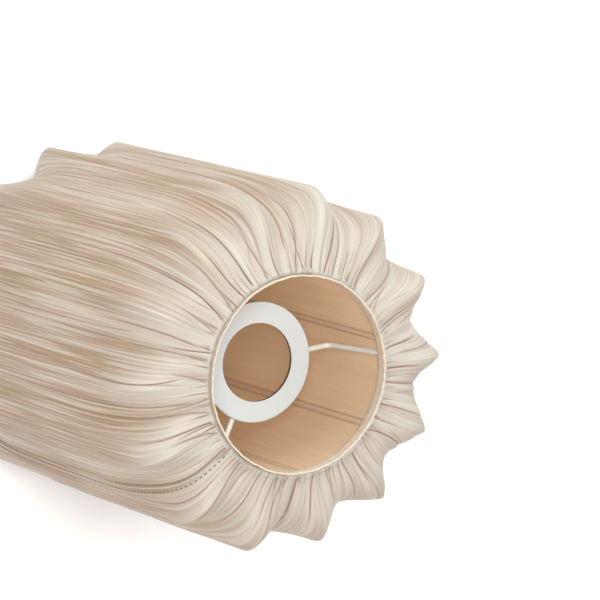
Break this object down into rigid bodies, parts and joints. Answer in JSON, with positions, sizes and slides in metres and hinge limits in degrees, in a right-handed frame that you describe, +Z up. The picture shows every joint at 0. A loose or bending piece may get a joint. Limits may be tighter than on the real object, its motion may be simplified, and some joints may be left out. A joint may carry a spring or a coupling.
{
  "type": "lamp shade",
  "caption": "Gathered fabric drum shade with a scalloped, ribbed outline on a welded wire frame, with an inner liner and a recessed spider fitter.",
  "frame": {"origin": "centre of the bottom rim, on the surface the shade stands on", "axes": "+Z up along the shade's axis towards the fitter end; one outer rib lies over +X"},
  "size_m": [0.1986, 0.1942, 0.26],
  "materials": {
    "cover_fabric": "gathered ivory-beige chiffon, soft sheen",
    "liner_fabric": "matt translucent tan lining",
    "binding_tape": "cream bias binding, matt",
    "frame_metal": "white powder coat, satin"
  },
  "bodies": {
    "root": {"cover": "cover_fabric", "liner": "liner_fabric", "top_binding": "binding_tape", "bottom_binding": "binding_tape", "top_ring": "frame_metal", "bottom_ring": "frame_metal", "fitter_ring": "frame_metal", "spider_arm_1": "frame_metal", "spider_arm_2": "frame_metal", "spider_arm_3": "frame_metal", "upright_1": "frame_metal", "upright_2": "frame_metal", "upright_3": "frame_metal", "upright_4": "frame_metal", "upright_5": "frame_metal", "upright_6": "frame_metal", "upright_7": "frame_metal", "rib_1": "frame_metal", "rib_2": "frame_metal", "rib_3": "frame_metal", "rib_4": "frame_metal", "rib_5": "frame_metal", "rib_6": "frame_metal", "rib_7": "frame_metal", "rib_8": "frame_metal", "rib_9": "frame_metal", "rib_10": "frame_metal", "rib_11": "frame_metal", "rib_12": "frame_metal", "rib_13": "frame_metal", "rib_14": "frame_metal"}
  },
  "joints": []
}
